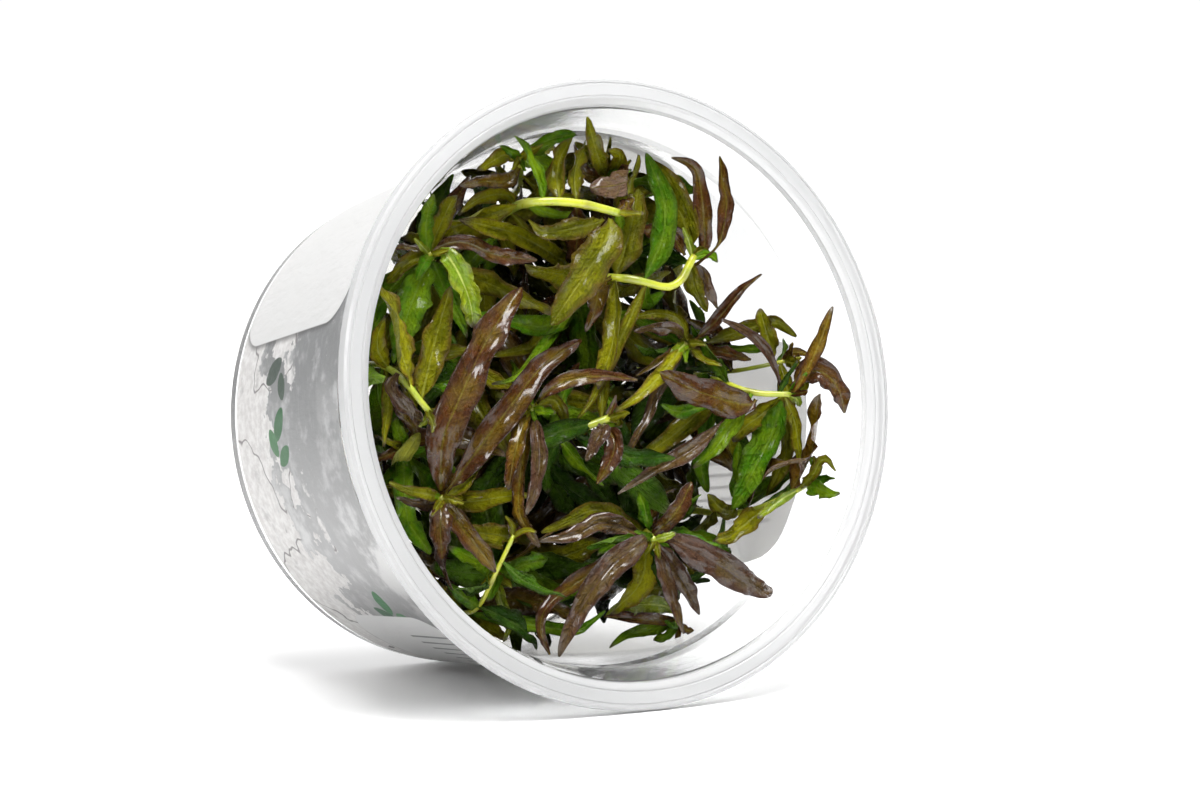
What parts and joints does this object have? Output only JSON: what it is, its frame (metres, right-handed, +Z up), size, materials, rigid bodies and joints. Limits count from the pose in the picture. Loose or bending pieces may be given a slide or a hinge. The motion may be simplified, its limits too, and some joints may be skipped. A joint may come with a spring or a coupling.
{
  "type": "tissue culture hygrophila pogonocalyx in its cup",
  "caption": "Clear round cup lying on its side with its open mouth forward, packed with young bronze and green aquarium plant shoots that grow from a thin bed of jelly",
  "frame": {"origin": "Bottom centre of the bounding box, on the surface that the cup rests on", "axes": "+Z up; -Y is the way that the open mouth looks, tipped up by about 10 degrees; +X is to the right seen from in front of the mouth"},
  "size_m": [0.108, 0.0814, 0.1068],
  "materials": {
    "clear_plastic": "clear, faintly milky polypropylene, smooth",
    "jelly": "translucent nutrient jelly, wet",
    "printed_film": "printed paper-like film, satin",
    "shoot": "living plant tissue, waxy yellow-green stem",
    "leaf_lime": "living leaf, lime, wet and waxy",
    "leaf_green": "living leaf, green, wet and waxy",
    "leaf_olive": "living leaf, olive, wet and waxy",
    "leaf_bronze": "living leaf, bronze, wet and waxy",
    "leaf_purple": "living leaf, purple, wet and waxy"
  },
  "bodies": {
    "root": {"cup": "clear_plastic", "jelly": "jelly", "label_patch": "printed_film", "label_wrap": "printed_film", "leaf_arch": "leaf_purple", "leaf_bright_low": "leaf_green", "leaf_broad_olive": "leaf_olive", "leaf_broad_top": "leaf_olive", "leaf_bronze_low": "leaf_bronze", "leaf_brown_left": "leaf_bronze", "leaf_brown_right": "leaf_bronze", "leaf_brown_top": "leaf_bronze", "leaf_brown_upper": "leaf_bronze", "leaf_diagonal": "leaf_olive", "leaf_glossy_brown": "leaf_bronze", "leaf_green_left": "leaf_green", "leaf_green_right": "leaf_green", "leaf_grey_long": "leaf_purple", "leaf_grey_low": "leaf_purple", "leaf_hanging": "leaf_olive", "leaf_highlight": "leaf_purple", "leaf_lime_curl": "leaf_lime", "leaf_long_brown": "leaf_bronze", "leaf_long_left": "leaf_bronze", "leaf_midrib_hanging": "leaf_purple", "leaf_narrow_hanging": "leaf_bronze", "leaf_olive_bent": "leaf_olive", "leaf_olive_hook": "leaf_olive", "leaf_pale_green": "leaf_green", "leaf_shoot_bronze": "leaf_bronze", "leaf_shoot_purple": "leaf_purple", "leaf_spear": "leaf_bronze", "leaf_swept": "leaf_olive", "leaf_tall_bronze": "leaf_bronze", "leaf_tall_right": "leaf_bronze", "leaf_tip_right": "leaf_bronze", "leaf_upright": "leaf_olive", "leaf_whorl_behind": "leaf_purple", "leaf_whorl_down": "leaf_purple", "leaf_whorl_long": "leaf_bronze", "leaf_whorl_right": "leaf_bronze", "stem_back_left": "shoot", "stem_brown": "shoot", "stem_centre": "shoot", "stem_edge": "shoot", "stem_left": "shoot", "stem_lime": "shoot", "stem_low": "shoot", "stem_low_left": "shoot", "stem_low_middle": "shoot", "stem_low_right": "shoot", "stem_middle": "shoot", "stem_middle_left": "shoot", "stem_right": "shoot", "stem_right_fork": "shoot", "stem_top": "shoot", "stem_upper_left": "shoot", "stem_upright": "shoot", "stem_whorl": "shoot", "stem_yellow": "shoot"}
  },
  "joints": []
}
